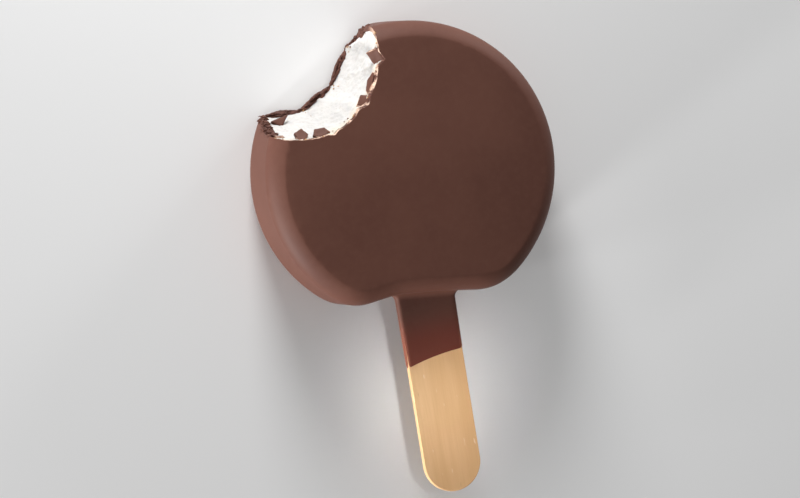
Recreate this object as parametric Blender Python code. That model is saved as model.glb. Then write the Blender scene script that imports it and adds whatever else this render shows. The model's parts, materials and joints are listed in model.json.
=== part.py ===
"""A round ice cream bar on a wooden stick, dipped in chocolate and bitten once at its upper left.

The bar lies on its flat back with its front up (+Z) and its stick toward -Y.
The origin is on the floor under the middle of the whole bar, stick included.
Run it with blender --background --python part.py, or from the text editor.
"""

from math import atan2, copysign, cos, exp, hypot, pi, radians, sin, sqrt
from random import Random

import bmesh
import bpy
from mathutils import Matrix, Vector

MM = 0.001
GAP = 0.3 * MM

# The bar, measured from the centre of its disc
HALF_WIDTH = 43.5 * MM
TOP_REACH = 42.5 * MM
BASE_DROP = 38.0 * MM
BASE_CORNER = 24.1 * MM
THICKNESS = 25.2 * MM
RIM_INSET = 4.7 * MM
RIM_DEPTH = 5.9 * MM
OUTLINE_STEPS = 84
BASE_STEPS = 8
RIM_STEPS = 4

# The base bows up round the stick, more on the left than on the right
BASE_BOW = 2.9 * MM
BASE_BOW_LEAN = 0.12
BASE_BOW_REACH = 19.5 * MM

# The chocolate coat and the sleeve that it leaves on the stick
COAT = 1.4 * MM
SLEEVE_WALL = 0.35 * MM
SLEEVE_FLARE = 2.2 * MM
SLEEVE_STEPS = 5
DIP_DROP = 54.4 * MM
DIP_SLOPE = radians(10.5)

# The wooden stick
STICK_LENGTH = 113.0 * MM
STICK_WIDTH = 17.0 * MM
STICK_THICKNESS = 2.0 * MM
STICK_DROP = 93.2 * MM
STICK_EDGE = 0.35 * MM
STICK_END_STEPS = 16

# The bite: an arc that is deeper at the front of the bar than at its back
BITE_X = -29.0 * MM
BITE_FRONT_Y = 38.3 * MM
BITE_BACK_Y = 43.5 * MM
BITE_FRONT_RADIUS = 24.5 * MM
BITE_BACK_RADIUS = 22.5 * MM
BITE_LEFT_ANGLE = radians(-150.0)
BITE_TOP_ANGLE_FRONT = radians(12.0)
BITE_TOP_ANGLE_BACK = radians(-18.5)
BITE_HOLLOW = 1.3
BITE_HOLLOW_LEFT = 3.6
BITE_LEFT_SHARE = 0.36
ICE_BACK_RECESS = -0.2 * MM
ICE_CHIP_DROP = 1.5 * MM
FAR = 65.0 * MM
BITE_STEPS = 54
BITE_LEVELS = 8

# Where the bite's edge runs out through the top of the disc: a bend and an end, at the front and back
CHIP_BEND_FRONT = Vector((-4.9, 45.5)) * MM
CHIP_BEND_BACK = Vector((-4.4, 40.4)) * MM
CHIP_END_FRONT = Vector((-4.8, 48.0)) * MM
CHIP_END_BACK = Vector((4.5, 41.8)) * MM
CHIP_STEPS = 6

# Convex flakes of the back shell that stand past the ice cream, between pointed notches
FLAKE_FIRST_NOTCH = radians(-18.5)
FLAKE_PITCH = radians(29.5)
FLAKE_REACH = 1.4 * MM
FLAKE_HEIGHT = 2.6 * MM

# Small nicks in the front edge of the bite: angle, depth (a jut where negative) and half width
FRONT_NICKS = (
    (radians(-13.0), 1.9 * MM, radians(5.0)),
    (radians(-44.0), 0.6 * MM, radians(5.0)),
    (radians(-75.0), 0.7 * MM, radians(4.0)),
    (radians(-52.0), -0.8 * MM, radians(5.0)),
)

# Loose pieces of broken coat stuck in the bitten ice cream: place on the bite's wall as a share
# of its arc and a height over the floor, length along the arc, breadth, corners, turn and lift
SHARD_THICKNESS = 1.2 * MM
SHARD_EDGE = 0.15 * MM
SHARD_TILT = radians(40.0)
SHARD_UNEVEN = 0.16
SHARDS = (
    (0.881, 20.8 * MM, 7.2 * MM, 4.9 * MM, 4, radians(38.0), 0.8 * MM),
    (0.760, 21.4 * MM, 7.0 * MM, 1.9 * MM, 6, radians(2.0), 0.6 * MM),
    (0.672, 21.0 * MM, 4.6 * MM, 3.2 * MM, 4, radians(30.0), 0.8 * MM),
    (0.431, 21.0 * MM, 5.3 * MM, 3.6 * MM, 5, radians(10.0), 0.6 * MM),
    (0.352, 19.8 * MM, 4.2 * MM, 4.2 * MM, 5, radians(55.0), 0.6 * MM),
    (0.370, 6.2 * MM, 6.6 * MM, 3.6 * MM, 3, radians(20.0), 0.5 * MM),
)

# The disc's centre lies above the origin's by half the difference of its two reaches
CENTRE_Y = (STICK_DROP - TOP_REACH) / 2
MIDDLE_Z = THICKNESS / 2


def outline_point(angle, inset):
    """Point of the bar's outline whose outward normal lies at angle, moved inward by inset."""
    half_width = HALF_WIDTH - BASE_CORNER
    half_height = TOP_REACH - BASE_CORNER
    base = BASE_CORNER - BASE_DROP
    along = Vector((cos(angle), sin(angle)))
    reach = hypot(half_width * along.x, half_height * along.y)
    x = half_width ** 2 * along.x / reach
    y = half_height ** 2 * along.y / reach
    if y < base:
        x = copysign(half_width * sqrt(1 - (base / half_height) ** 2), along.x)
        y = base
    return Vector((x, y + CENTRE_Y)) + along * (BASE_CORNER - inset)


def base_bow(x):
    """How far the base rises above its full drop at x."""
    return (BASE_BOW - BASE_BOW_LEAN * x) * exp(-(x / BASE_BOW_REACH) ** 4)


def level_at(height):
    """Share of the bar's thickness that lies below height."""
    return min(max(height / THICKNESS, 0.0), 1.0)


def nicks(angle):
    """Depth of the small nicks in the bite's front edge at angle."""
    depth = 0.0
    for middle, deep, half in FRONT_NICKS:
        depth += deep * max(0.0, 1 - abs(angle - middle) / half)
    return depth


def bite_point(share, height, recess, flakes):
    """Point of the bite's wall: share runs from its left end to its top end, height from the floor."""
    level = level_at(height)
    leftness = max(0.0, 1 - share / BITE_LEFT_SHARE)
    hollow = BITE_HOLLOW + (BITE_HOLLOW_LEFT - BITE_HOLLOW) * leftness
    forward = 1 - (1 - level) ** hollow
    top = BITE_TOP_ANGLE_BACK + (BITE_TOP_ANGLE_FRONT - BITE_TOP_ANGLE_BACK) * level
    angle = BITE_LEFT_ANGLE + (top - BITE_LEFT_ANGLE) * share
    radius = BITE_BACK_RADIUS + (BITE_FRONT_RADIUS - BITE_BACK_RADIUS) * forward
    y = BITE_BACK_Y + (BITE_FRONT_Y - BITE_BACK_Y) * forward
    radius += recess * (1 - forward) + nicks(angle) * level ** 2
    if flakes:
        near_back = max(0.0, 1 - max(height, 0.0) / FLAKE_HEIGHT)
        radius -= FLAKE_REACH * near_back * abs(sin(pi * (angle - FLAKE_FIRST_NOTCH) / FLAKE_PITCH))
    return Vector((BITE_X + radius * cos(angle), CENTRE_Y + y + radius * sin(angle), height))


def chip_points(start, height, drop):
    """The bent run of the bite's edge from its arc out through the top, lowered by drop at the back."""
    level = level_at(height)
    shift = Vector((0, CENTRE_Y - drop * (1 - level)))
    bend = CHIP_BEND_BACK.lerp(CHIP_BEND_FRONT, level) + shift
    end = CHIP_END_BACK.lerp(CHIP_END_FRONT, level) + shift
    points = []
    for step in range(1, CHIP_STEPS + 1):
        share = step / CHIP_STEPS
        point = start.xy.lerp(bend, share).lerp(bend.lerp(end, share), share)
        points.append(Vector((point.x, point.y, height)))
    return points


def object_from(bm, name, collection):
    """New object in collection from the bmesh, which is freed."""
    bmesh.ops.recalc_face_normals(bm, faces=bm.faces)
    mesh = bpy.data.meshes.new(name)
    bm.to_mesh(mesh)
    bm.free()
    piece = bpy.data.objects.new(name, mesh)
    collection.objects.link(piece)
    return piece


def hide_guide(piece):
    piece.hide_render = True
    piece.display_type = "WIRE"


def boolean(piece, other, operation):
    modifier = piece.modifiers.new(other.name, "BOOLEAN")
    modifier.operation = operation
    modifier.solver = "EXACT"
    modifier.object = other


def extrude_up(bm, depth):
    """Extrude the bmesh's only face upward and return the edges of both rims."""
    bottom = list(bm.edges)
    grown = bmesh.ops.extrude_face_region(bm, geom=list(bm.faces), use_keep_orig=True)
    moved = [item for item in grown["geom"] if isinstance(item, bmesh.types.BMVert)]
    bmesh.ops.translate(bm, verts=moved, vec=(0, 0, depth))
    top = [item for item in grown["geom"] if isinstance(item, bmesh.types.BMEdge)]
    return bottom + top


def disc_body(name, inset, steps, collection):
    """The bar's rounded body, moved inward by inset on every side."""
    rim = RIM_INSET - inset
    stretch = (RIM_DEPTH - inset) / rim
    bm = bmesh.new()
    bmesh.ops.create_circle(bm, cap_ends=True, segments=OUTLINE_STEPS, radius=1.0)
    turn = Matrix.Rotation(pi / OUTLINE_STEPS, 4, "Z")
    bmesh.ops.rotate(bm, verts=bm.verts, matrix=turn)
    for vert in bm.verts:
        vert.co.xy = outline_point(atan2(vert.co.y, vert.co.x), inset)
    base = max(bm.edges, key=lambda edge: edge.calc_length())
    bmesh.ops.subdivide_edges(bm, edges=[base], cuts=BASE_STEPS)
    for vert in bm.verts:
        if vert.co.y < CENTRE_Y:
            vert.co.y += base_bow(vert.co.x)
    edges = extrude_up(bm, (THICKNESS - 2 * inset) / stretch)
    bmesh.ops.bevel(bm, geom=edges, offset=rim, segments=steps, profile=0.5, affect="EDGES")
    bmesh.ops.scale(bm, verts=bm.verts, vec=(1, 1, stretch))
    bmesh.ops.translate(bm, verts=bm.verts, vec=(0, 0, inset))
    return object_from(bm, name, collection)


def stick_body(name, margin, edge, collection):
    """The stick's flat bar with round ends, grown by margin on every side."""
    half = STICK_WIDTH / 2
    low = CENTRE_Y - STICK_DROP + half
    high = low + STICK_LENGTH - STICK_WIDTH
    bm = bmesh.new()
    bmesh.ops.create_circle(bm, cap_ends=True, segments=2 * STICK_END_STEPS, radius=half + margin)
    turn = Matrix.Rotation(pi / (2 * STICK_END_STEPS), 4, "Z")
    bmesh.ops.rotate(bm, verts=bm.verts, matrix=turn)
    for vert in bm.verts:
        vert.co.y += high if vert.co.y > 0 else low
    depth = STICK_THICKNESS + 2 * margin
    edges = extrude_up(bm, depth)
    if edge:
        bmesh.ops.bevel(bm, geom=edges, offset=edge, segments=2, profile=0.5, affect="EDGES")
    bmesh.ops.translate(bm, verts=bm.verts, vec=(0, 0, MIDDLE_Z - depth / 2))
    return object_from(bm, name, collection)


def sleeve_body(name, collection):
    """The chocolate round the stick: a flat tube's outside that flares where it meets the bar."""
    grow = GAP + SLEEVE_WALL
    width = STICK_WIDTH + 2 * grow
    height = STICK_THICKNESS + 2 * grow
    bm = bmesh.new()
    bmesh.ops.create_cube(bm, size=1.0)
    bmesh.ops.scale(bm, verts=bm.verts, vec=(width, 1 * MM, height))
    long_edges = [edge for edge in bm.edges if abs(edge.verts[0].co.y - edge.verts[1].co.y) > 0.5 * MM]
    bmesh.ops.bevel(bm, geom=long_edges, offset=1.2 * MM, segments=4, profile=0.5, affect="EDGES")
    start = -BASE_DROP - SLEEVE_FLARE
    bmesh.ops.translate(bm, verts=bm.verts, vec=(0, start, 0))

    def end_face(direction):
        return max(bm.faces, key=lambda face: direction * face.calc_center_median().y)

    def push(direction, step, flare_now, flare_next):
        face = end_face(direction)
        grown = bmesh.ops.extrude_face_region(bm, geom=[face])
        bmesh.ops.delete(bm, geom=[face], context="FACES_ONLY")
        verts = [item for item in grown["geom"] if isinstance(item, bmesh.types.BMVert)]
        bmesh.ops.translate(bm, verts=verts, vec=(0, direction * step, 0))
        wider = (width + 2 * flare_next) / (width + 2 * flare_now)
        deeper = (height + 2 * flare_next) / (height + 2 * flare_now)
        bmesh.ops.scale(bm, verts=verts, vec=(wider, 1, deeper))

    push(-1, DIP_DROP, 0.0, 0.0)
    flare = 0.0
    climb = 0.0
    for step in range(1, SLEEVE_STEPS + 1):
        turn = pi / 2 * step / SLEEVE_STEPS
        next_flare = SLEEVE_FLARE * (1 - cos(turn))
        next_climb = SLEEVE_FLARE * sin(turn)
        push(1, next_climb - climb, flare, next_flare)
        flare = next_flare
        climb = next_climb
    push(1, COAT, flare, flare)
    for vert in bm.verts:
        if vert.co.y > start - GAP:
            vert.co.y += base_bow(vert.co.x)
    normal = Vector((sin(DIP_SLOPE), -cos(DIP_SLOPE), 0))
    everything = list(bm.verts) + list(bm.edges) + list(bm.faces)
    cut = bmesh.ops.bisect_plane(bm, geom=everything, plane_co=(0, -DIP_DROP, 0), plane_no=normal, clear_outer=True)
    rim = [item for item in cut["geom_cut"] if isinstance(item, bmesh.types.BMEdge)]
    bmesh.ops.contextual_create(bm, geom=rim)
    bmesh.ops.translate(bm, verts=bm.verts, vec=(0, CENTRE_Y, MIDDLE_Z))
    return object_from(bm, name, collection)


def bite_body(name, recess, drop, flakes, collection):
    """The space that the bite took, as a loft of its outlines from under the bar to over it."""
    heights = [-2 * MM, 0.0, COAT + GAP, FLAKE_HEIGHT + GAP]
    for step in range(1, BITE_LEVELS):
        heights.append(FLAKE_HEIGHT + (THICKNESS - FLAKE_HEIGHT) * step / (BITE_LEVELS - 1))
    heights.append(THICKNESS + 2 * MM)
    bm = bmesh.new()
    rings = []
    for height in heights:
        ring = [bite_point(step / BITE_STEPS, height, recess, flakes) for step in range(BITE_STEPS + 1)]
        ring += chip_points(ring[-1], height, drop)
        ring.append(Vector((ring[-1].x, CENTRE_Y + FAR, height)))
        ring.append(Vector((-FAR, CENTRE_Y + FAR, height)))
        ring.append(Vector((-FAR, ring[0].y, height)))
        rings.append([bm.verts.new(point) for point in ring])
    for low, high in zip(rings, rings[1:]):
        for here in range(len(low)):
            there = (here + 1) % len(low)
            bm.faces.new((low[here], low[there], high[there], high[here]))
    bm.faces.new(rings[0])
    bm.faces.new(rings[-1])
    return object_from(bm, name, collection)


def shard_frame(share, height, lift):
    """Where a shard sits on the bite's wall: along the arc, across it and outward, tipped to the front."""
    step = 0.01
    point = bite_point(share, height, ICE_BACK_RECESS, False)
    along = bite_point(share + step, height, ICE_BACK_RECESS, False) - point
    across = bite_point(share, height + step * THICKNESS, ICE_BACK_RECESS, False) - point
    along.normalize()
    outward = across.cross(along).normalized()
    outward.rotate(Matrix.Rotation(SHARD_TILT, 3, outward.cross(Vector((0, 0, 1)))))
    across = along.cross(outward).normalized()
    frame = Matrix((along, across, outward)).transposed().to_4x4()
    frame.translation = point + outward * lift
    return frame


def shard_body(name, number, margin, collection):
    """One angular plate of coat, grown by margin on every side."""
    share, height, length, breadth, corners, turn, lift = SHARDS[number]
    uneven = Random(number + 7)
    bm = bmesh.new()
    bmesh.ops.create_circle(bm, cap_ends=True, segments=corners, radius=0.5)
    bmesh.ops.rotate(bm, verts=bm.verts, matrix=Matrix.Rotation(turn, 3, "Z"))
    for vert in bm.verts:
        away = vert.co.xy.normalized() * margin
        vert.co.xy *= 1 + uneven.uniform(-SHARD_UNEVEN, SHARD_UNEVEN)
        vert.co.x = vert.co.x * length + 1.3 * away.x
        vert.co.y = vert.co.y * breadth + 1.3 * away.y
    depth = SHARD_THICKNESS + 2 * margin
    edges = extrude_up(bm, depth)
    if not margin:
        bmesh.ops.bevel(bm, geom=edges, offset=SHARD_EDGE, segments=1, profile=0.5, affect="EDGES")
    bmesh.ops.translate(bm, verts=bm.verts, vec=(0, 0, -depth / 2))
    bmesh.ops.transform(bm, verts=bm.verts, matrix=shard_frame(share, height, lift))
    return object_from(bm, name, collection)


def material(name, color, roughness):
    made = bpy.data.materials.new(name)
    made.use_nodes = True
    shader = made.node_tree.nodes["Principled BSDF"]
    shader.inputs["Base Color"].default_value = (*color, 1.0)
    shader.inputs["Roughness"].default_value = roughness
    shader.inputs["Metallic"].default_value = 0.0
    return made


def new_collection(name):
    made = bpy.data.collections.new(name)
    bpy.context.scene.collection.children.link(made)
    return made


def clear_scene():
    for piece in list(bpy.data.objects):
        bpy.data.objects.remove(piece, do_unlink=True)


def main():
    clear_scene()
    bar = new_collection("ice_cream_bar")
    guides = new_collection("guides")

    chocolate = material("chocolate", (0.12, 0.06, 0.04), 0.45)
    vanilla = material("vanilla_ice_cream", (0.93, 0.90, 0.85), 0.6)
    birch = material("birch", (0.75, 0.5, 0.28), 0.65)

    pocket = stick_body("stick_pocket", GAP, 0.0, guides)
    hollow = disc_body("coat_hollow", COAT, RIM_STEPS - 1, guides)
    sleeve = sleeve_body("sleeve", guides)
    coat_bite = bite_body("coat_bite", 0.0, 0.0, True, guides)
    ice_bite = bite_body("ice_bite", ICE_BACK_RECESS, ICE_CHIP_DROP, False, guides)
    for guide in (pocket, hollow, sleeve, coat_bite, ice_bite):
        hide_guide(guide)

    coating = disc_body("coating", 0.0, RIM_STEPS, bar)
    boolean(coating, sleeve, "UNION")
    boolean(coating, hollow, "DIFFERENCE")
    boolean(coating, pocket, "DIFFERENCE")
    boolean(coating, coat_bite, "DIFFERENCE")
    coating.data.materials.append(chocolate)

    ice_cream = disc_body("ice_cream", COAT + GAP, RIM_STEPS - 1, bar)
    boolean(ice_cream, pocket, "DIFFERENCE")
    boolean(ice_cream, ice_bite, "DIFFERENCE")
    for number in range(len(SHARDS)):
        shard = shard_body(f"shard_{number + 1}", number, 0.0, bar)
        shard.data.materials.append(chocolate)
        shard_pocket = shard_body(f"shard_pocket_{number + 1}", number, GAP, guides)
        hide_guide(shard_pocket)
        boolean(ice_cream, shard_pocket, "DIFFERENCE")
    ice_cream.data.materials.append(vanilla)

    stick = stick_body("stick", 0.0, STICK_EDGE, bar)
    stick.data.materials.append(birch)


main()
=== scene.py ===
"""Looks of a round ice cream bar on a stick: its chocolate coat, its bite and its loose broken coat.

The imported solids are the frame. The bar lies on its back on the floor, its front up and its stick
toward -Y, and every piece here stands for one of them or lies on them.
"""

import json
from math import atan2, copysign, cos, exp, hypot, pi, radians, sin, sqrt, tan
from random import Random

import bmesh
import bpy
from mathutils import Euler, Matrix, Vector, noise

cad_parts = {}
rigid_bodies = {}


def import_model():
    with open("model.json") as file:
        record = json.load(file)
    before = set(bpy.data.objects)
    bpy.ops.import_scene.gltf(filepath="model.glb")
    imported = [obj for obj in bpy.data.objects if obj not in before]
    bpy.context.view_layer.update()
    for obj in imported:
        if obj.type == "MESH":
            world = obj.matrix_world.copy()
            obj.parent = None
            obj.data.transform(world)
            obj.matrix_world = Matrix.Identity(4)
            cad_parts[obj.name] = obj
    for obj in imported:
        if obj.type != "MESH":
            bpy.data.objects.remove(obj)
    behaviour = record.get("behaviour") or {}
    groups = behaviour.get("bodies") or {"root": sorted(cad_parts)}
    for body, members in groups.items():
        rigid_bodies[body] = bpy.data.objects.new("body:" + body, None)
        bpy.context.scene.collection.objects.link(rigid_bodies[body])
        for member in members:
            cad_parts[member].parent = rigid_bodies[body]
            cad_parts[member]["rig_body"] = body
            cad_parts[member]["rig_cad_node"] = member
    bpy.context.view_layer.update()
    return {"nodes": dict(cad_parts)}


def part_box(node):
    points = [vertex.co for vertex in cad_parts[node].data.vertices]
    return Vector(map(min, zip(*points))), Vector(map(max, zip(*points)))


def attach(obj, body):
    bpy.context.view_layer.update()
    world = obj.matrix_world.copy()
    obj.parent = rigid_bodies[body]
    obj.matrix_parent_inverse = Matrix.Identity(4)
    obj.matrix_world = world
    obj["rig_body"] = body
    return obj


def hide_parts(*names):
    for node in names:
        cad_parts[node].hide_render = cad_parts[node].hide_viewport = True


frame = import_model()

MM = 0.001
SLIVER = 0.002 * MM

# The bar, measured from the centre of its disc
HALF_WIDTH = 43.5 * MM
TOP_REACH = 42.5 * MM
BASE_DROP = 38.0 * MM
BASE_CORNER = 24.1 * MM
RIM_INSET = 4.7 * MM
RIM_DEPTH = 5.9 * MM
RIM_BEND = 1.4
RIM_BEND_LEAN = 0.2
OUTLINE_STEPS = 240
BASE_STEPS = 24
RIM_STEPS = 12

# The front swells slightly toward its middle
CROWN = 1.8 * MM
CROWN_PITCH = 4.0 * MM

# The base bows up round the stick, more on the left than on the right
BASE_BOW = 2.9 * MM
BASE_BOW_LEAN = 0.12
BASE_BOW_REACH = 19.5 * MM

# The coat, and the film that it leaves on the stick
COAT = 1.4 * MM
ICE_OVERLAP = 0.15 * MM
SLEEVE_GROW = 0.42 * MM
SLEEVE_FLARE = 2.2 * MM
SLEEVE_CORNER = 1.2 * MM
DIP_DROP = 54.1 * MM
DIP_SLOPE = radians(9.0)
DIP_ARCH = 0.5 * MM
FILM_EDGE = 0.12 * MM

# The wooden stick
STICK_WIDTH = 17.0 * MM
STICK_THICKNESS = 2.0 * MM
STICK_DROP = 93.2 * MM
STICK_LENGTH = 113.0 * MM
STICK_EDGE = 0.35 * MM
STICK_END_STEPS = 32

# The bite: an arc that is deeper at the front of the bar than at its back
BITE_X = -29.0 * MM
BITE_FRONT_Y = 38.3 * MM
BITE_BACK_Y = 43.5 * MM
BITE_FRONT_RADIUS = 24.5 * MM
BITE_BACK_RADIUS = 22.5 * MM
BITE_LEFT_ANGLE = radians(-150.0)
BITE_TOP_ANGLE_FRONT = radians(12.0)
BITE_TOP_ANGLE_BACK = radians(-18.5)
BITE_HOLLOW = 1.3
BITE_HOLLOW_LEFT = 3.6
BITE_LEFT_SHARE = 0.36
BITE_ARC_PART = 0.84
BITE_OVER = 2.0 * MM
ICE_BACK_RECESS = -0.2 * MM
ICE_CHIP_DROP = 2.6 * MM
FAR = 65.0 * MM

# Where the bite's edge runs out through the top of the disc: a bend and an end, at the front and back
CHIP_BEND_FRONT = Vector((-4.9, 45.5)) * MM
CHIP_BEND_BACK = Vector((-4.4, 40.4)) * MM
CHIP_END_FRONT = Vector((-4.8, 48.0)) * MM
CHIP_END_BACK = Vector((4.5, 41.8)) * MM

# Convex flakes of the back shell that stand past the ice cream, between pointed notches
FLAKE_FIRST_NOTCH = radians(-18.5)
FLAKE_PITCH = radians(29.5)
FLAKE_REACH = 1.4 * MM
FLAKE_HEIGHT = 2.6 * MM

# Share of the back edge's arc that lies left of the bar
FLAKES_START = 0.335

# Small nicks in the front edge of the bite: angle, depth (a jut where negative) and half width
FRONT_NICKS = (
    (radians(-13.0), 1.9 * MM, radians(5.0)),
    (radians(-44.0), 0.6 * MM, radians(5.0)),
    (radians(-75.0), 0.7 * MM, radians(4.0)),
    (radians(-52.0), -0.8 * MM, radians(5.0)),
)

# How the scene sets each shard in the rough wall: lifted out, turned in degrees and grown
SHARD_SETTING = (
    (0.8 * MM, 0.0, 1.22),
    (0.9 * MM, 0.0, 1.05),
    (0.6 * MM, 0.0, 1.15),
    (0.2 * MM, 0.0, 1.0),
    (0.2 * MM, 0.0, 1.0),
    (0.3 * MM, 34.0, 1.05),
)

# Places in the frame
coat_low, coat_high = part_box("coating")
stick_low, stick_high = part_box("stick")
THICKNESS = coat_high.z - coat_low.z
MIDDLE_Z = (stick_low.z + stick_high.z) / 2
CENTRE_Y = stick_low.y + STICK_DROP


# ---------------------------------------------------------------- working by hand


def take(piece):
    """Select this piece alone and make it the one worked on."""
    bpy.ops.object.select_all(action="DESELECT")
    piece.select_set(True)
    bpy.context.view_layer.objects.active = piece


def started(name):
    """Name the new primitive and put its place in its mesh."""
    piece = bpy.context.active_object
    piece.name = name
    piece.data.name = name
    bpy.ops.object.transform_apply(location=True, rotation=True, scale=True)
    return piece


def open_mesh(piece):
    take(piece)
    bpy.ops.object.mode_set(mode="EDIT")


def close_mesh():
    bpy.ops.object.mode_set(mode="OBJECT")


def pick(piece, kind, wanted):
    """In the open mesh, select only the faces, edges or corners that are wanted."""
    bpy.ops.mesh.select_mode(type=kind)
    bpy.ops.mesh.select_all(action="DESELECT")
    mesh = bmesh.from_edit_mesh(piece.data)
    parts = {"VERT": mesh.verts, "EDGE": mesh.edges, "FACE": mesh.faces}[kind]
    for part in parts:
        if wanted(part):
            part.select_set(True)
    mesh.select_flush_mode()
    bmesh.update_edit_mesh(piece.data)


def apply_modifier(piece, kind, **settings):
    take(piece)
    modifier = piece.modifiers.new(kind.title(), kind)
    for name, value in settings.items():
        setattr(modifier, name, value)
    bpy.ops.object.modifier_apply(modifier=modifier.name)


def carve(piece, tool, operation):
    """Join the tool to the piece or cut it away; the tool's own finish stays on the cut."""
    apply_modifier(
        piece, "BOOLEAN", object=tool, operation=operation, solver="EXACT", material_mode="TRANSFER"
    )


def mend(piece):
    """Close up the slivers and tiny flaps that the cuts leave along their edges."""
    open_mesh(piece)
    bpy.ops.mesh.select_all(action="SELECT")
    bpy.ops.mesh.remove_doubles(threshold=SLIVER)
    bpy.ops.mesh.dissolve_degenerate(threshold=SLIVER)
    bpy.ops.mesh.quads_convert_to_tris(quad_method="BEAUTY", ngon_method="BEAUTY")
    bpy.ops.mesh.select_all(action="SELECT")
    bpy.ops.mesh.dissolve_degenerate(threshold=SLIVER)
    for sweep in range(3):
        pick(piece, "FACE", lambda face: min(len(edge.link_faces) for edge in face.edges) == 1)
        bpy.ops.mesh.delete(type="FACE")
    bpy.ops.mesh.select_all(action="SELECT")
    bpy.ops.mesh.delete_loose()
    close_mesh()


def discard(*tools):
    for tool in tools:
        bpy.data.objects.remove(tool, do_unlink=True)


def smooth(piece, degrees):
    take(piece)
    bpy.ops.object.shade_smooth_by_angle(angle=radians(degrees))


# ---------------------------------------------------------------- the bar's shapes


def outline_point(angle, inset):
    """Point of the bar's outline whose outward normal lies at angle, moved inward by inset."""
    half_width = HALF_WIDTH - BASE_CORNER
    half_height = TOP_REACH - BASE_CORNER
    base = BASE_CORNER - BASE_DROP
    along = Vector((cos(angle), sin(angle)))
    reach = hypot(half_width * along.x, half_height * along.y)
    x = half_width ** 2 * along.x / reach
    y = half_height ** 2 * along.y / reach
    if y < base:
        x = copysign(half_width * sqrt(1 - (base / half_height) ** 2), along.x)
        y = base
    return Vector((x, y + CENTRE_Y)) + along * (BASE_CORNER - inset)


def base_bow(x):
    """How far the base rises above its full drop at x."""
    return (BASE_BOW - BASE_BOW_LEAN * x) * exp(-(x / BASE_BOW_REACH) ** 4)


def disc_body(name, inset, steps, rim_steps):
    """The bar's rounded body, moved inward by inset on every side."""
    rim = RIM_INSET - inset
    stretch = (RIM_DEPTH - inset) / rim
    depth = (THICKNESS - 2 * inset) / stretch
    bpy.ops.mesh.primitive_circle_add(
        vertices=steps, radius=HALF_WIDTH, fill_type="NGON", rotation=(0, 0, pi / steps)
    )
    body = started(name)
    for vert in body.data.vertices:
        vert.co.xy = outline_point(atan2(vert.co.y, vert.co.x), inset)
    open_mesh(body)
    pick(body, "EDGE", lambda edge: edge.calc_length() > BASE_CORNER / 2)
    bpy.ops.mesh.subdivide(number_cuts=BASE_STEPS)
    close_mesh()
    for vert in body.data.vertices:
        if vert.co.y < CENTRE_Y:
            vert.co.y += base_bow(vert.co.x)
    open_mesh(body)
    bpy.ops.mesh.select_all(action="SELECT")
    bpy.ops.mesh.extrude_region_move(TRANSFORM_OT_translate={"value": (0, 0, depth)})
    pick(body, "EDGE", lambda edge: abs(edge.verts[0].co.z - edge.verts[1].co.z) < depth / 2)
    bpy.ops.mesh.bevel(offset=rim, segments=rim_steps, profile=0.5, affect="EDGES")
    bpy.ops.mesh.select_all(action="SELECT")
    bpy.ops.transform.resize(value=(1, 1, stretch), center_override=(0, 0, 0))
    bpy.ops.transform.translate(value=(0, 0, inset))
    bpy.ops.mesh.normals_make_consistent(inside=False)
    close_mesh()
    crisp_rim(body, inset)
    swell_front(body)
    return body


def crisp_rim(body, inset):
    """Let the front's rounding start at a crisp line, crisper on the left than on the right."""
    top = THICKNESS - inset
    deep = RIM_DEPTH - inset
    for vert in body.data.vertices:
        drop = (top - vert.co.z) / deep
        if 0 < drop < 1:
            out = sqrt(1 - (1 - drop) ** 2)
            bend = RIM_BEND + RIM_BEND_LEAN * vert.co.x / HALF_WIDTH
            vert.co.z = top - deep * (1 - sqrt(1 - out ** bend))


def swell_front(body):
    """Cut the front into small panes and let it fall away from its middle toward the rim."""
    reach = int(HALF_WIDTH / CROWN_PITCH)
    open_mesh(body)
    pick(body, "FACE", lambda face: face.normal.z > 0.999)
    for step in range(-reach, reach + 1):
        for place, normal in (
            ((step * CROWN_PITCH, 0, 0), (1, 0, 0)),
            ((0, CENTRE_Y + step * CROWN_PITCH, 0), (0, 1, 0)),
        ):
            bpy.ops.mesh.bisect(plane_co=place, plane_no=normal)
            pick(body, "FACE", lambda face: face.normal.z > 0.999)
    close_mesh()
    for vert in body.data.vertices:
        front = max(0.0, 2 * vert.co.z / THICKNESS - 1)
        out = hypot(vert.co.x, vert.co.y - CENTRE_Y) / HALF_WIDTH
        vert.co.z -= CROWN * front * out ** 2


def stick_body(name, margin, edge):
    """The stick's flat bar with round ends, grown by margin on every side."""
    half = STICK_WIDTH / 2
    low = stick_low.y + half
    high = low + STICK_LENGTH - STICK_WIDTH
    steps = 2 * STICK_END_STEPS
    depth = STICK_THICKNESS + 2 * margin
    bpy.ops.mesh.primitive_circle_add(
        vertices=steps,
        radius=half + margin,
        fill_type="NGON",
        location=(0, 0, MIDDLE_Z - depth / 2),
        rotation=(0, 0, pi / steps),
    )
    body = started(name)
    for vert in body.data.vertices:
        vert.co.y += high if vert.co.y > 0 else low
    open_mesh(body)
    bpy.ops.mesh.select_all(action="SELECT")
    bpy.ops.mesh.extrude_region_move(TRANSFORM_OT_translate={"value": (0, 0, depth)})
    if edge:
        pick(body, "EDGE", lambda edge: abs(edge.verts[0].co.z - edge.verts[1].co.z) < depth / 2)
        bpy.ops.mesh.bevel(offset=edge, segments=4, profile=0.5, affect="EDGES")
    bpy.ops.mesh.select_all(action="SELECT")
    bpy.ops.mesh.normals_make_consistent(inside=False)
    close_mesh()
    return body


def dip_line(x):
    """How far down the stick the dip reaches at x: a slope with a slight curve."""
    across = x / (STICK_WIDTH / 2)
    return CENTRE_Y - DIP_DROP + x * tan(DIP_SLOPE) - DIP_ARCH * (across ** 2 - 0.4)


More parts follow.
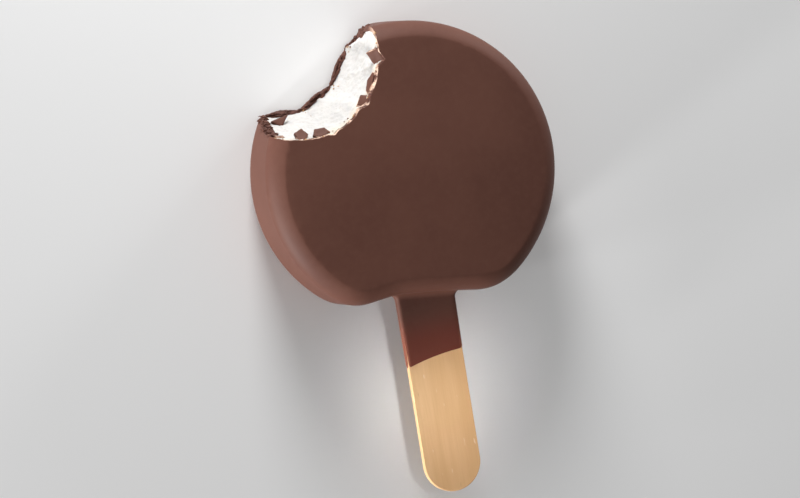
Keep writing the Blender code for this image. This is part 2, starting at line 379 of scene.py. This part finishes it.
def film(part):
    """How far the chocolate stands off the stick's size, from the bar (0) to the dip's edge (1)."""
    body = SLEEVE_GROW + (FILM_EDGE * 2 - SLEEVE_GROW) * part
    ending = min(1.0, (1 - part) * 22)
    return FILM_EDGE * 0.3 + (body - FILM_EDGE * 0.3) * sqrt(ending)


def sleeve_body(name):
    """The chocolate round the stick, which flares where it meets the bar and thins to the dip's edge."""
    rings = 40
    flare_rings = 10
    width = STICK_WIDTH + 2 * SLEEVE_GROW
    depth = STICK_THICKNESS + 2 * SLEEVE_GROW
    bpy.ops.mesh.primitive_cube_add(size=1, location=(0, 0.5, MIDDLE_Z), scale=(width, 1, depth))
    body = started(name)
    open_mesh(body)
    pick(body, "EDGE", lambda edge: abs(edge.verts[0].co.x - edge.verts[1].co.x) > width / 2)
    bpy.ops.mesh.subdivide(number_cuts=15)
    pick(body, "EDGE", lambda edge: abs(edge.calc_length() - 1) < 0.1 and abs(edge.verts[0].co.x) > width * 0.49)
    bpy.ops.mesh.bevel(offset=SLEEVE_CORNER, segments=6, profile=0.5, affect="EDGES")
    for ring in range(rings):
        pick(body, "FACE", lambda face: face.normal.y < -0.9)
        bpy.ops.mesh.extrude_region_move(TRANSFORM_OT_translate={"value": (0, -1, 0)})
    for ring in range(flare_rings + 1):
        pick(body, "FACE", lambda face: face.normal.y > 0.9)
        bpy.ops.mesh.extrude_region_move(TRANSFORM_OT_translate={"value": (0, 1, 0)})
    close_mesh()
    for vert in body.data.vertices:
        ring = round(vert.co.y)
        x = vert.co.x
        z = vert.co.z - MIDDLE_Z
        top = CENTRE_Y - BASE_DROP - SLEEVE_FLARE + base_bow(x)
        if ring <= 0:
            part = 1 - (1 + ring / rings) ** 1.3
            grow = film(part)
            y = top + (dip_line(x) - top) * part
        else:
            turn = min(1.0, (ring - 1) / flare_rings) * pi / 2
            grow = SLEEVE_GROW + SLEEVE_FLARE * (1 - cos(turn))
            y = top + SLEEVE_FLARE * sin(turn) + (COAT if ring > flare_rings + 1 else 0)
        wide = (STICK_WIDTH + 2 * grow) / width
        deep = (STICK_THICKNESS + 2 * grow) / depth
        vert.co = (x * wide, y, MIDDLE_Z + z * deep)
    open_mesh(body)
    bpy.ops.mesh.select_all(action="SELECT")
    bpy.ops.mesh.remove_doubles(threshold=0.002 * MM)
    bpy.ops.mesh.normals_make_consistent(inside=False)
    close_mesh()
    return body


# ---------------------------------------------------------------- the bite


def nicks(angle):
    """Depth of the small nicks in the bite's front edge at angle."""
    depth = 0.0
    for middle, deep, half in FRONT_NICKS:
        depth += deep * max(0.0, 1 - abs(angle - middle) / half)
    return depth


def bite_point(share, height, recess, flakes):
    """Point of the bite's wall and the way into the bar there: share runs from left to top."""
    level = min(max(height / THICKNESS, 0.0), 1.0)
    leftness = max(0.0, 1 - share / BITE_LEFT_SHARE)
    hollow = BITE_HOLLOW + (BITE_HOLLOW_LEFT - BITE_HOLLOW) * leftness
    forward = 1 - (1 - level) ** hollow
    top = BITE_TOP_ANGLE_BACK + (BITE_TOP_ANGLE_FRONT - BITE_TOP_ANGLE_BACK) * level
    angle = BITE_LEFT_ANGLE + (top - BITE_LEFT_ANGLE) * share
    radius = BITE_BACK_RADIUS + (BITE_FRONT_RADIUS - BITE_BACK_RADIUS) * forward
    y = BITE_BACK_Y + (BITE_FRONT_Y - BITE_BACK_Y) * forward
    radius += recess * (1 - forward) + nicks(angle) * level ** 2
    if flakes:
        near_back = max(0.0, 1 - max(height, 0.0) / FLAKE_HEIGHT)
        radius -= FLAKE_REACH * near_back * abs(sin(pi * (angle - FLAKE_FIRST_NOTCH) / FLAKE_PITCH))
    inward = Vector((cos(angle), sin(angle), 0))
    return Vector((BITE_X, CENTRE_Y + y, height)) + inward * radius, inward


def chip_point(part, height, recess, drop, flakes):
    """Point where the bite's edge bends and runs out through the top, and the way into the bar."""
    start, inward = bite_point(1.0, height, recess, flakes)
    level = min(max(height / THICKNESS, 0.0), 1.0)
    shift = Vector((0, CENTRE_Y - drop * (1 - level)))
    bend = CHIP_BEND_BACK.lerp(CHIP_BEND_FRONT, level) + shift
    end = CHIP_END_BACK.lerp(CHIP_END_FRONT, level) + shift
    point = start.xy.lerp(bend, part).lerp(bend.lerp(end, part), part)
    run = (bend - start.xy).lerp(end - bend, part).normalized()
    return Vector((point.x, point.y, height)), Vector((run.y, -run.x, 0))


def coat_roughness(point):
    return 0.28 * MM * noise.noise(point / (3.4 * MM)) + 0.16 * MM * noise.noise(point / (1.0 * MM))


def ice_roughness(point):
    slow = noise.noise(point / (4.2 * MM) + Vector((3, 1, 7)))
    crumbly = noise.noise(point / (1.5 * MM))
    grain = noise.noise(point / (0.6 * MM))
    return 0.42 * MM * slow + 0.2 * MM * crumbly + 0.09 * MM * grain


def slant(share, height):
    """How far the coat's break leans out over the ice cream, widest on the right of the bite."""
    right = max(0.0, 1 - abs(share - 0.78) / 0.24) ** 0.5
    below = min(max((THICKNESS - height) / COAT, 0.0), 1.0)
    level = min(max(height / THICKNESS, 0.0), 1.0)
    return -(0.15 + 1.05 * right) * MM * below * level ** 2


def tooth_marks(angle_share, height):
    """Shallow hollows side by side that the teeth leave, fading toward the back."""
    level = min(max(height / THICKNESS, 0.0), 1.0)
    wave = abs(sin(pi * (angle_share * 5.6 + 0.3)))
    return 0.55 * MM * (wave ** 0.7 - 0.6) * (0.35 + 0.65 * level) * min(1.0, (1 - level) * 5)


def bite_tool(name, columns, rows, recess, drop, flakes, roughness, teeth):
    """The space that the bite took: a fine rough wall, closed far outside the bar."""
    across = columns + 3
    bpy.ops.mesh.primitive_grid_add(x_subdivisions=across, y_subdivisions=rows, size=2)
    tool = started(name)
    for vert in tool.data.vertices:
        column = round((vert.co.x + 1) / 2 * across)
        height = -BITE_OVER + (THICKNESS + 2 * BITE_OVER) * (vert.co.y + 1) / 2
        place = min(max((column - 2) / columns, 0.0), 1.0)
        if place <= BITE_ARC_PART:
            share = place / BITE_ARC_PART
            point, inward = bite_point(share, height, recess, flakes)
        else:
            part = (place - BITE_ARC_PART) / (1 - BITE_ARC_PART)
            share = 1.0
            point, inward = chip_point(part, height, recess, drop, flakes)
        rough = roughness(point) + slant(share, height)
        if teeth:
            rough += tooth_marks(share, height)
        point += inward * rough
        if column < 2:
            point.x = -FAR
        if column == 0 or column == across:
            point.y = CENTRE_Y + FAR
        vert.co = point
    open_mesh(tool)
    far = CENTRE_Y + FAR - 1 * MM
    pick(tool, "EDGE", lambda edge: min(edge.verts[0].co.y, edge.verts[1].co.y) > far)
    bpy.ops.mesh.bridge_edge_loops()
    bpy.ops.mesh.select_mode(type="EDGE")
    bpy.ops.mesh.select_all(action="DESELECT")
    bpy.ops.mesh.select_non_manifold()
    bpy.ops.mesh.edge_face_add()
    bpy.ops.mesh.select_all(action="SELECT")
    bpy.ops.mesh.normals_make_consistent(inside=False)
    close_mesh()
    return tool


# ---------------------------------------------------------------- finishes


class Value:
    """A number or colour that varies over a surface, with sums written as sums."""

    def __init__(self, finish, socket):
        self.finish = finish
        self.socket = socket

    def sum(self, operation, *others, clamp=False):
        inputs = {index: value for index, value in enumerate(others)}
        return self.finish.node("ShaderNodeMath", inputs, operation=operation, use_clamp=clamp)

    def __add__(self, other):
        return self.sum("ADD", self, other)

    def __radd__(self, other):
        return self.sum("ADD", other, self)

    def __sub__(self, other):
        return self.sum("SUBTRACT", self, other)

    def __rsub__(self, other):
        return self.sum("SUBTRACT", other, self)

    def __mul__(self, other):
        return self.sum("MULTIPLY", self, other)

    def __rmul__(self, other):
        return self.sum("MULTIPLY", other, self)

    def __truediv__(self, other):
        return self.sum("DIVIDE", self, other)

    def __rtruediv__(self, other):
        return self.sum("DIVIDE", other, self)

    def __pow__(self, other):
        return self.sum("POWER", self, other)

    def size(self):
        return self.sum("ABSOLUTE", self)

    def clamp(self):
        return self.sum("ADD", self, 0.0, clamp=True)

    def rise(self, low, high):
        """0 below low, 1 above high, and a soft step between them."""
        inputs = {"Value": self, "From Min": low, "From Max": high}
        return self.finish.node("ShaderNodeMapRange", inputs, interpolation_type="SMOOTHSTEP")


class Finish:
    """A material and the nodes that make its colour, gloss and relief."""

    def __init__(self, name, **constants):
        self.material = bpy.data.materials.new(name)
        self.material.use_nodes = True
        self.tree = self.material.node_tree
        self.shader = self.tree.nodes["Principled BSDF"]
        for socket, value in constants.items():
            self.shader.inputs[socket.replace("_", " ")].default_value = value

    def feed(self, socket, value):
        if isinstance(value, Value):
            self.tree.links.new(value.socket, socket)
        elif socket.type == "RGBA":
            socket.default_value = (*value[:3], 1.0)
        else:
            socket.default_value = value

    def node(self, kind, inputs, output=0, stops=None, **settings):
        """Any node: its settings, the values or links of its sockets, and the output wanted."""
        made = self.tree.nodes.new(kind)
        for name, value in settings.items():
            setattr(made, name, value)
        if stops:
            ramp = made.color_ramp
            while len(ramp.elements) < len(stops):
                ramp.elements.new(1.0)
            for element, (position, colour) in zip(ramp.elements, stops):
                element.position = position
                element.color = (*colour, 1.0)
        for socket, value in inputs.items():
            self.feed(made.inputs[socket], value)
        return Value(self, made.outputs[output])

    def place(self, stretch=(1, 1, 1), turn=(0, 0, 0)):
        """The piece's own coordinates, in metres, stretched and turned."""
        here = self.node("ShaderNodeTexCoord", {}, output="Object")
        return self.node("ShaderNodeMapping", {"Vector": here, "Scale": stretch, "Rotation": turn})

    def along(self, axis):
        return self.node("ShaderNodeSeparateXYZ", {0: self.place()}, output=axis)

    def noise(self, grain, detail=2.0, rough=0.5, stretch=(1, 1, 1), turn=(0, 0, 0)):
        """Cloudy values round 0.5 whose blots are about grain across."""
        inputs = {
            "Vector": self.place(stretch, turn),
            "Scale": 1 / grain,
            "Detail": detail,
            "Roughness": rough,
        }
        return self.node("ShaderNodeTexNoise", inputs, output=0)

    def mix(self, share, first, second, blend="MIX"):
        inputs = {0: share, 6: first, 7: second}
        return self.node("ShaderNodeMix", inputs, output=2, data_type="RGBA", blend_type=blend)

    def relief(self, height, depth, under=None):
        """Bumps of the given depth in metres, over other bumps if there are any."""
        inputs = {"Height": height, "Distance": depth}
        if under:
            inputs["Normal"] = under
        return self.node("ShaderNodeBump", inputs)

    def set(self, **values):
        for socket, value in values.items():
            self.feed(self.shader.inputs[socket.replace("_", " ")], value)


def shade_of(red, green, blue):
    """A screen colour, 0 to 255, as the light it stands for."""
    light = []
    for part in (red, green, blue):
        part /= 255
        light.append(part / 12.92 if part < 0.04045 else ((part + 0.055) / 1.055) ** 2.4)
    return tuple(light)


def milk_chocolate():
    """Smooth set coating with faint clouding, thinner and redder where it runs down the stick; lighter at the
    stick's side edges, partly from thinner film and partly as painted highlight.
    """
    finish = Finish("milk chocolate", IOR=1.46, Specular_IOR_Level=0.23)
    clouds = finish.noise(26 * MM, detail=3.0)
    mottle = finish.noise(2.2 * MM, detail=4.0, rough=0.6)
    base = finish.mix(clouds.rise(0.3, 0.7), (0.109, 0.043, 0.030), (0.128, 0.052, 0.036))
    base = finish.mix(mottle.rise(0.35, 0.75) * 0.25, base, (0.146, 0.064, 0.045))
    down = (CENTRE_Y - BASE_DROP - 1 * MM) - finish.along(1)
    # Lighter toward the sleeve's side edges: partly the thinner film there, partly a painted highlight where the
    # rounded edges catch light.
    film_with_painted_edge_light = finish.mix(
        (finish.along(0).size() / (9 * MM)).rise(0.80, 1.02), (0.150, 0.033, 0.019), (0.24, 0.075, 0.044)
    )
    base = finish.mix(down.rise(0.0, 11 * MM), base, film_with_painted_edge_light)
    gloss = 0.48 + 0.12 * clouds + 0.06 * mottle
    ripples = finish.relief(finish.noise(14 * MM, detail=1.0), 0.12 * MM)
    skin = finish.relief(finish.noise(0.7 * MM, detail=2.0), 0.006 * MM, under=ripples)
    finish.set(Base_Color=base, Roughness=gloss, Normal=skin)
    return finish.material


def broken_chocolate():
    """The dull grainy break of the coat, smeared with melted cream toward the front."""
    finish = Finish("broken chocolate", IOR=1.46, Specular_IOR_Level=0.35)
    grain = finish.noise(0.8 * MM, detail=4.0, rough=0.65)
    blots = finish.noise(2.6 * MM, detail=3.0)
    base = finish.mix(grain.rise(0.35, 0.7), (0.060, 0.019, 0.013), (0.155, 0.060, 0.039))
    front = finish.along(2).rise(THICKNESS - 9 * MM, THICKNESS - 1.5 * MM)
    smear = (blots + 0.35 * grain).rise(0.58, 0.80) * front
    base = finish.mix(smear, base, (0.72, 0.50, 0.38))
    rough = finish.relief(grain, 0.16 * MM)
    finish.set(Base_Color=base, Roughness=0.5 + 0.25 * grain, Normal=rough)
    return finish.material


def crumbly_chocolate():
    """Crumbs of the coat: some brown, some a golden tan that is a painted highlight, standing for the glints of
    broken edges.
    """
    finish = Finish("crumbly chocolate", IOR=1.46, Specular_IOR_Level=0.3)
    painted_glint_mask = finish.noise(1.6 * MM, detail=1.0)
    grain = finish.noise(0.4 * MM, detail=3.0)
    # The golden tan is a painted highlight; the brown is the coat's own colour.
    base = finish.mix(painted_glint_mask.rise(0.46, 0.56), (0.13, 0.055, 0.035), (0.50, 0.29, 0.13))
    base = finish.mix(grain.rise(0.4, 0.7) * 0.4, base, (0.30, 0.16, 0.09))
    finish.set(Base_Color=base, Roughness=0.55 + 0.2 * grain, Normal=finish.relief(grain, 0.08 * MM))
    return finish.material


def vanilla():
    """Dense bitten ice cream: fine pores, icy grain, and a little cream yellow near the coat."""
    finish = Finish(
        "vanilla ice cream",
        IOR=1.36,
        Specular_IOR_Level=0.4,
        Subsurface_Weight=0.25,
        Subsurface_Radius=(1.0, 0.8, 0.6),
        Subsurface_Scale=1.2 * MM,
    )
    pores = finish.node(
        "ShaderNodeTexVoronoi", {"Vector": finish.place(), "Scale": 1 / (0.9 * MM)}, output="Distance"
    )
    grain = finish.noise(0.5 * MM, detail=4.0, rough=0.7)
    blots = finish.noise(5 * MM, detail=3.0)
    base = finish.mix(blots.rise(0.35, 0.7), (0.565, 0.55, 0.535), (0.605, 0.59, 0.57))
    front = finish.along(2).rise(THICKNESS - 7 * MM, THICKNESS - 2 * MM)
    base = finish.mix(front * blots.rise(0.3, 0.6) * 0.8, base, (0.63, 0.56, 0.46))
    soft = finish.relief(blots, 0.25 * MM)
    fine = finish.relief(grain, 0.07 * MM, under=soft)
    skin = finish.relief(pores.rise(0.0, 0.35), 0.05 * MM, under=fine)
    finish.set(Base_Color=base, Roughness=0.42 + 0.3 * grain, Normal=skin)
    return finish.material


def birch():
    """Pale birch cut along the grain: faint fibres, a few short flecks and darker pores."""
    finish = Finish("birch", IOR=1.5, Specular_IOR_Level=0.3)
    fibres = finish.noise(0.5 * MM, detail=4.0, rough=0.6, stretch=(1, 0.04, 1), turn=(0, 0, radians(0.8)))
    bands = finish.noise(4.5 * MM, detail=2.0, stretch=(1, 0.08, 1), turn=(0, 0, radians(1.2)))
    broad = finish.noise(26 * MM, detail=1.0)
    flecks = finish.noise(0.8 * MM, detail=1.0, stretch=(1, 0.2, 1))
    base = finish.mix(bands.rise(0.3, 0.7), (0.70, 0.42, 0.205), (0.76, 0.48, 0.248))
    base = finish.mix(fibres.rise(0.36, 0.68) * 0.28, base, (0.62, 0.36, 0.165))
    base = finish.mix(broad.rise(0.35, 0.7) * 0.4, base, (0.64, 0.36, 0.152))
    base = finish.mix(flecks.rise(0.73, 0.79) * 0.6, base, (0.86, 0.69, 0.46))
    base = finish.mix((1 - flecks).rise(0.75, 0.82) * 0.4, base, (0.40, 0.22, 0.10))
    lines = finish.relief(fibres, 0.02 * MM)
    waves = finish.relief(bands, 0.04 * MM, under=lines)
    finish.set(Base_Color=base, Roughness=0.52 + 0.15 * fibres, Normal=waves)
    return finish.material


def pale_floor():
    finish = Finish("pale floor", Specular_IOR_Level=0.2)
    tone = finish.noise(400 * MM, detail=1.0)
    base = finish.mix(tone, (0.86, 0.86, 0.86), (0.88, 0.88, 0.88))
    finish.set(Base_Color=base, Roughness=0.9 + 0.0 * tone)
    return finish.material


# ---------------------------------------------------------------- the pieces


def coat_piece(chocolate, broken):
    """The whole coat: the disc's shell and the film on the stick, bitten through."""
    coat = disc_body("chocolate_coat", 0.0, OUTLINE_STEPS, RIM_STEPS)
    coat.data.materials.append(chocolate)
    coat.data.materials.append(broken)
    sleeve = sleeve_body("sleeve")
    sleeve.data.materials.append(chocolate)
    hollow = disc_body("hollow", COAT, 120, 8)
    hollow.data.materials.append(chocolate)
    pocket = stick_body("pocket", 0.01 * MM, 0.0)
    pocket.data.materials.append(chocolate)
    bite = bite_tool("bite", 250, 84, 0.0, 0.0, True, coat_roughness, False)
    bite.data.materials.append(broken)
    carve(coat, sleeve, "UNION")
    carve(coat, hollow, "DIFFERENCE")
    carve(coat, pocket, "DIFFERENCE")
    carve(coat, bite, "DIFFERENCE")
    discard(sleeve, hollow, pocket, bite)
    mend(coat)
    smooth(coat, 38)
    apply_modifier(coat, "WEIGHTED_NORMAL", mode="FACE_AREA_WITH_ANGLE", keep_sharp=True)
    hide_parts("coating")
    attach(coat, "root")
    return coat


def ice_cream_piece(ice_cream):
    """The ice cream block inside the coat, with the bite's rough wall."""
    block = disc_body("ice_cream_filling", COAT - ICE_OVERLAP, 120, 8)
    bite = bite_tool("bite", 300, 96, ICE_BACK_RECESS, ICE_CHIP_DROP, False, ice_roughness, True)
    carve(block, bite, "DIFFERENCE")
    discard(bite)
    mend(block)
    block.data.materials.clear()
    block.data.materials.append(ice_cream)
    smooth(block, 70)
    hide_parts("ice_cream")
    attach(block, "root")
    return block


def stick_piece(wood):
    stick = stick_body("wooden_stick", 0.0, STICK_EDGE)
    stick.data.materials.append(wood)
    smooth(stick, 40)
    apply_modifier(stick, "WEIGHTED_NORMAL", mode="FACE_AREA_WITH_ANGLE", keep_sharp=True)
    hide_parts("stick")
    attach(stick, "root")
    return stick


def shard_piece(number, setting, chocolate, broken):
    """A plate of broken coat in the ice cream, lifted clear of its rough wall and turned in place."""
    node = frame["nodes"][f"shard_{number}"]
    shard = node.copy()
    shard.data = node.data.copy()
    shard.name = f"coat_shard_{number}"
    bpy.context.scene.collection.objects.link(shard)
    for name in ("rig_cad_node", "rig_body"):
        if name in shard:
            del shard[name]
    shard.parent = None
    shard.data.materials.clear()
    shard.data.materials.append(chocolate)
    shard.data.materials.append(broken)
    open_mesh(shard)
    bpy.ops.mesh.select_all(action="SELECT")
    bpy.ops.mesh.remove_doubles(threshold=0.01 * MM)
    bpy.ops.mesh.dissolve_limited(angle_limit=radians(2))
    close_mesh()
    widest = max(shard.data.polygons, key=lambda face: face.area)
    normal = widest.normal.copy()
    for face in shard.data.polygons:
        face.material_index = 0 if abs(face.normal.dot(normal)) > 0.95 else 1
    if normal.z < 0:
        normal.negate()
    centre = sum((vert.co for vert in shard.data.vertices), Vector()) / len(shard.data.vertices)
    lift, turn, grow = setting
    spin = Matrix.Rotation(radians(turn), 4, normal) @ Matrix.Scale(grow, 4)
    shard.data.transform(Matrix.Translation(centre + normal * lift) @ spin @ Matrix.Translation(-centre))
    apply_modifier(shard, "TRIANGULATE")
    open_mesh(shard)
    bpy.ops.mesh.select_all(action="SELECT")
    bpy.ops.mesh.subdivide(number_cuts=5)
    close_mesh()
    for vert in shard.data.vertices:
        push = 0.14 * MM * noise.noise(vert.co / (1.3 * MM)) + 0.07 * MM * noise.noise(vert.co / (0.5 * MM))
        vert.co += vert.normal * push
    smooth(shard, 40)
    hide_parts(f"shard_{number}")
    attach(shard, "root")
    return shard


def chip_shape(name, uneven):
    """One small angular bit: a cube with its corners struck off, pulled out of square."""
    bpy.ops.object.select_all(action="DESELECT")
    bpy.ops.mesh.primitive_cube_add(size=1)
    chip = started(name)
    open_mesh(chip)
    bpy.ops.mesh.select_all(action="SELECT")
    bpy.ops.mesh.bevel(offset=0.2, segments=1, affect="EDGES")
    bpy.ops.mesh.select_all(action="SELECT")
    bpy.ops.mesh.subdivide(number_cuts=1)
    close_mesh()
    for vert in chip.data.vertices:
        vert.co += Vector([uneven.uniform(-0.11, 0.11) for axis in range(3)])
        vert.co.x *= 1 + 0.5 * vert.co.y
    return chip


def scattered(name, places, finish, seed):
    """Bits copied from a few shapes to their places and sizes, joined into one piece."""
    uneven = Random(seed)
    shapes = [chip_shape(f"{name}_shape_{number}", uneven) for number in range(4)]
    bits = []
    for number, (place, size, turn) in enumerate(places):
        bit = shapes[number % 4].copy()
        bit.data = bit.data.copy()
        bpy.context.scene.collection.objects.link(bit)
        bit.data.transform(Matrix.LocRotScale(place, turn, size))
        lowest = min(vert.co.z for vert in bit.data.vertices)
        bit.data.transform(Matrix.Translation((0, 0, max(0.0, -lowest))))
        bits.append(bit)
    discard(*shapes)
    take(bits[0])
    for bit in bits:
        bit.select_set(True)
    bpy.ops.object.join()
    whole = bpy.context.active_object
    whole.name = name
    whole.data.name = name
    whole.data.materials.clear()
    whole.data.materials.append(finish)
    smooth(whole, 25)
    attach(whole, "root")
    return whole


def wall_turn(share, height, lean):
    """How a bit lies on the bite's wall: its length along the edge, its face outward."""
    point, inward = bite_point(share, height, 0.0, False)
    along = inward.cross(Vector((0, 0, 1)))
    turn = Matrix((along, -inward, Vector((0, 0, 1)))).transposed().to_quaternion()
    turn.rotate(Euler(lean))
    return turn


def stub_share(height):
    """Share of the bite's edge, at this height, where its left end enters the bar."""
    return 0.322 - 0.095 * min(1.0, height / (18 * MM)) ** 0.7


def coat_flakes(broken):
    """Broken plates of coat along the back edge of the bite and heaped at both its ends."""
    uneven = Random(11)
    places = []
    for number in range(34):
        share = FLAKES_START + (1 - FLAKES_START) * (number + uneven.uniform(0.1, 0.9)) / 34
        height = uneven.uniform(0.1, 1.5) * MM
        point, inward = bite_point(share, height, 0.0, True)
        size = Vector((uneven.uniform(1.6, 3.4), uneven.uniform(0.3, 0.6), uneven.uniform(0.7, 1.7))) * MM
        lean = [uneven.uniform(-0.22, 0.22) for axis in range(3)]
        places.append((point + inward * uneven.uniform(0.0, 0.3) * MM, size, wall_turn(share, height, lean)))
    for number in range(58):
        height = uneven.uniform(0.6, 19.0) * MM
        reach = min(0.86, 1.02 - 0.047 * height / MM)
        part = max(0.0, reach - uneven.uniform(0.05, 0.40) * (1.4 - 0.04 * height / MM))
        point, inward = chip_point(part, height, 0.0, 0.0, True)
        size = Vector((uneven.uniform(1.0, 2.8), uneven.uniform(0.6, 1.2), uneven.uniform(0.9, 2.4))) * MM
        lean = [uneven.uniform(-0.6, 0.6) for axis in range(3)]
        places.append((point + inward * uneven.uniform(0.2, 1.1) * MM, size, wall_turn(1.0, height, lean)))
    for number in range(46):
        height = uneven.uniform(1.5, 21.0) * MM
        share = stub_share(height) + uneven.uniform(0.0, 0.03)
        point, inward = bite_point(share, height, 0.0, False)
        size = Vector((uneven.uniform(1.2, 2.8), uneven.uniform(0.6, 1.1), uneven.uniform(1.2, 2.6))) * MM
        lean = [uneven.uniform(-0.5, 0.5) for axis in range(3)]
        places.append((point + inward * uneven.uniform(-0.25, 0.15) * MM, size, wall_turn(share, height, lean)))
    return scattered("coat_flakes", places, broken, 3)


def settled(point, hosts):
    """The point itself where it lies in one of these pieces, or else the nearest place on them."""
    nearest = None
    for host in hosts:
        found, spot, normal, face = host.closest_point_on_mesh(point)
        if (point - spot).dot(normal) < 0 and (point - spot).length < 1.0 * MM:
            return point
        if nearest is None or (spot - point).length < (nearest - point).length:
            nearest = spot
    return nearest


def crumbs(crumbly, hosts):
    """Small crumbs of coat caught in the notches, under the front edge and at the bite's ends."""
    uneven = Random(23)
    places = []
    for number in range(90):
        part = uneven.random()
        if part < 0.35:
            share = uneven.uniform(0.26, 1.0)
            height = THICKNESS - COAT - uneven.expovariate(1 / 0.8) * MM
        elif part < 0.65:
            height = uneven.uniform(3.0, 22.0) * MM
            share = stub_share(height) + uneven.uniform(0.0, 0.04)
        else:
            notch = FLAKE_FIRST_NOTCH - FLAKE_PITCH * uneven.choice((0, 1, 2, 3))
            angle = notch + uneven.gauss(0.0, 0.03)
            share = (angle - BITE_LEFT_ANGLE) / (BITE_TOP_ANGLE_BACK - BITE_LEFT_ANGLE)
            height = 0.7 * MM + uneven.expovariate(1 / 1.1) * MM
        share = min(share, 1.0)
        height = min(max(height, 0.3 * MM), THICKNESS - 0.6 * MM)
        point, inward = bite_point(share, height, ICE_BACK_RECESS, False)
        point += inward * (slant(share, height) + ice_roughness(point) + tooth_marks(share, height))
        grain = uneven.uniform(0.22, 0.5) * MM
        size = Vector([grain * uneven.uniform(0.6, 1.5) for axis in range(3)])
        turn = Euler([uneven.uniform(0, 2 * pi) for axis in range(3)]).to_quaternion()
        places.append((settled(point - inward * grain * 0.1, hosts), size, turn))
    return scattered("coat_crumbs", places, crumbly, 5)


# ---------------------------------------------------------------- the studio


def area_light(name, place, aim, size, power, spread=180.0):
    light = bpy.data.lights.new(name, "AREA")
    light.shape = "DISK"
    light.size = size
    light.energy = power
    light.spread = radians(spread)
    lamp = bpy.data.objects.new(name, light)
    bpy.context.scene.collection.objects.link(lamp)
    lamp.location = place
    lamp.rotation_euler = (Vector(aim) - Vector(place)).to_track_quat("-Z", "Y").to_euler()
    return lamp


def studio():
    """A pale floor, a pale room and soft lights, mostly from the upper left."""
    bpy.ops.object.select_all(action="DESELECT")
    bpy.ops.mesh.primitive_grid_add(
        x_subdivisions=8, y_subdivisions=8, size=30, location=(0, 0, coat_low.z - 0.05 * MM)
    )
    floor = started("floor")
    floor.data.materials.append(pale_floor())
    world = bpy.data.worlds.new("pale room")
    bpy.context.scene.world = world
    world.use_nodes = True
    background = world.node_tree.nodes["Background"]
    background.inputs["Color"].default_value = (1, 1, 1, 1)
    background.inputs["Strength"].default_value = 0.25
    middle = (0, CENTRE_Y, MIDDLE_Z)
    area_light("side", (-1.1, -0.6, 0.11), middle, 0.2, 18.0)
    area_light("left", (-1.15, -0.1, 0.11), middle, 0.2, 6.0)
    area_light("right", (0.8, 0.6, 0.16), middle, 0.3, 3.3)
    area_light("top", (-0.06, 0.65, 0.21), middle, 0.25, 4.4)
    area_light("near", (-0.05, 0.28, 0.13), middle, 0.12, 0.037, spread=90)
    area_light("stick", (0.0, -0.043, 0.24), (0, -0.039, 0), 0.03, 0.0022, spread=16)
    bpy.context.scene.view_settings.view_transform = "Standard"


def camera():
    """A long lens over the bar, leaning to its left and a little to its top, and rolled."""
    lean_left = radians(18.721)
    lean_up = radians(5.005)
    roll = radians(9.2948)
    distance = 1553.62 * MM
    aim = Vector((-4.996, 3.429, 12.6)) * MM
    back = Vector((-tan(lean_left), tan(lean_up), 1)).normalized()
    right = Vector((0, 1, 0)).cross(back).normalized()
    up = back.cross(right)
    turned_right = right * cos(roll) - up * sin(roll)
    turned_up = right * sin(roll) + up * cos(roll)
    lens = bpy.data.cameras.new("camera")
    lens.lens = 245.35
    lens.sensor_width = 36
    lens.clip_start = 0.05
    lens.clip_end = 60
    eye = bpy.data.objects.new("camera", lens)
    bpy.context.scene.collection.objects.link(eye)
    turn = Matrix((turned_right, turned_up, back)).transposed().to_4x4()
    eye.matrix_world = Matrix.Translation(aim + back * distance) @ turn
    bpy.context.scene.camera = eye


def main():
    chocolate = milk_chocolate()
    broken = broken_chocolate()
    coat = coat_piece(chocolate, broken)
    ice_cream = ice_cream_piece(vanilla())
    stick_piece(birch())
    for number, setting in enumerate(SHARD_SETTING, start=1):
        shard_piece(number, setting, chocolate, broken)
    coat_flakes(broken)
    crumbs(crumbly_chocolate(), (coat, ice_cream))
    studio()
    camera()


main()
